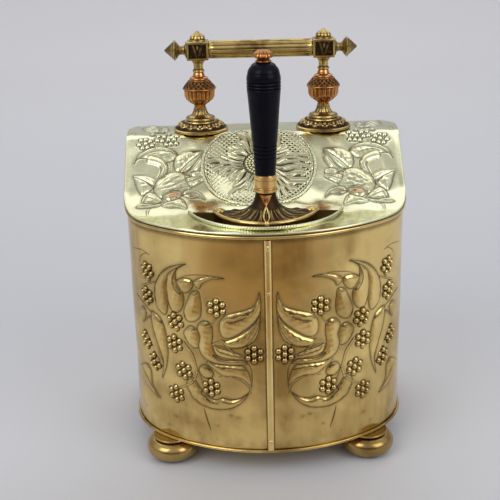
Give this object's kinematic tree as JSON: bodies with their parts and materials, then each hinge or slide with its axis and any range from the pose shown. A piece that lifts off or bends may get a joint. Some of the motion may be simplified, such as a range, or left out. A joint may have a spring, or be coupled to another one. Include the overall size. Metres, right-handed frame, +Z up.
{
  "type": "coal scuttle",
  "caption": "D-shaped embossed brass coal box on bun feet with a hinged S-shaped lid, a bar handle on urn posts and a lift-out scoop shovel with a turned black grip.",
  "frame": {"origin": "under the middle of the whole object, at the level of the floor that the feet stand on", "axes": "+Z up; -Y to the front, where the shovel's slot is; +Y to the back, where the hinge is; +X to the right as seen from the front"},
  "size_m": [0.3134, 0.2436, 0.4481],
  "materials": {
    "brass": "polished golden brass, lightly patinated",
    "lid_brass": "polished pale brass",
    "antique_brass": "chased brass with dark recesses",
    "copper": "polished copper-toned metal",
    "ebonised_wood": "glossy black polish",
    "liner_iron": "japanned sheet iron",
    "steel": "plain steel"
  },
  "bodies": {
    "case": {"base_plate": "brass", "left_side_panel": "brass", "right_side_panel": "brass", "back_panel": "brass", "back_rivets": "brass", "front_cover_strip": "brass", "seam_backing_strip": "brass", "strip_pins": "brass", "liner": "liner_iron", "front_left_foot": "brass", "front_right_foot": "brass", "rear_left_foot": "brass", "rear_right_foot": "brass", "foot_studs": "steel", "foot_nuts": "steel", "hinge_case_leaf": "brass", "hinge_rivets": "brass", "hinge_pin": "steel"},
    "lid": {"lid_sheet": "lid_brass", "lid_rim_bead": "lid_brass", "slot_bead": "lid_brass", "pocket_trough": "antique_brass", "pocket_back_sheet": "antique_brass", "hinge_lid_leaf": "brass", "left_rosette": "antique_brass", "right_rosette": "antique_brass", "left_stem_foot": "antique_brass", "right_stem_foot": "antique_brass", "left_urn": "copper", "right_urn": "copper", "left_neck": "brass", "right_neck": "brass", "left_block": "antique_brass", "right_block": "antique_brass", "left_acorn": "brass", "right_acorn": "brass", "left_end_finial": "antique_brass", "right_end_finial": "antique_brass", "handle_bar": "brass", "post_rods": "steel", "post_nuts": "steel"},
    "shovel": {"shovel_grip": "ebonised_wood", "shovel_finial": "copper", "shovel_ferrule": "brass", "shovel_tang": "steel", "shovel_fan": "antique_brass", "scoop_band": "brass", "scoop_blade": "brass", "scoop_rivets": "copper"}
  },
  "joints": [
    {"name": "lid_hinge", "type": "hinge", "parent": "case", "child": "lid", "pos_m": [0, 0.11816, 0.33005], "axis": [-1, 0, 0], "range_deg": [0, 95]},
    {"name": "shovel_lift", "type": "slide", "parent": "lid", "child": "shovel", "axis": [0, -0.5, 0.866], "range_m": [0, 0.2]}
  ]
}
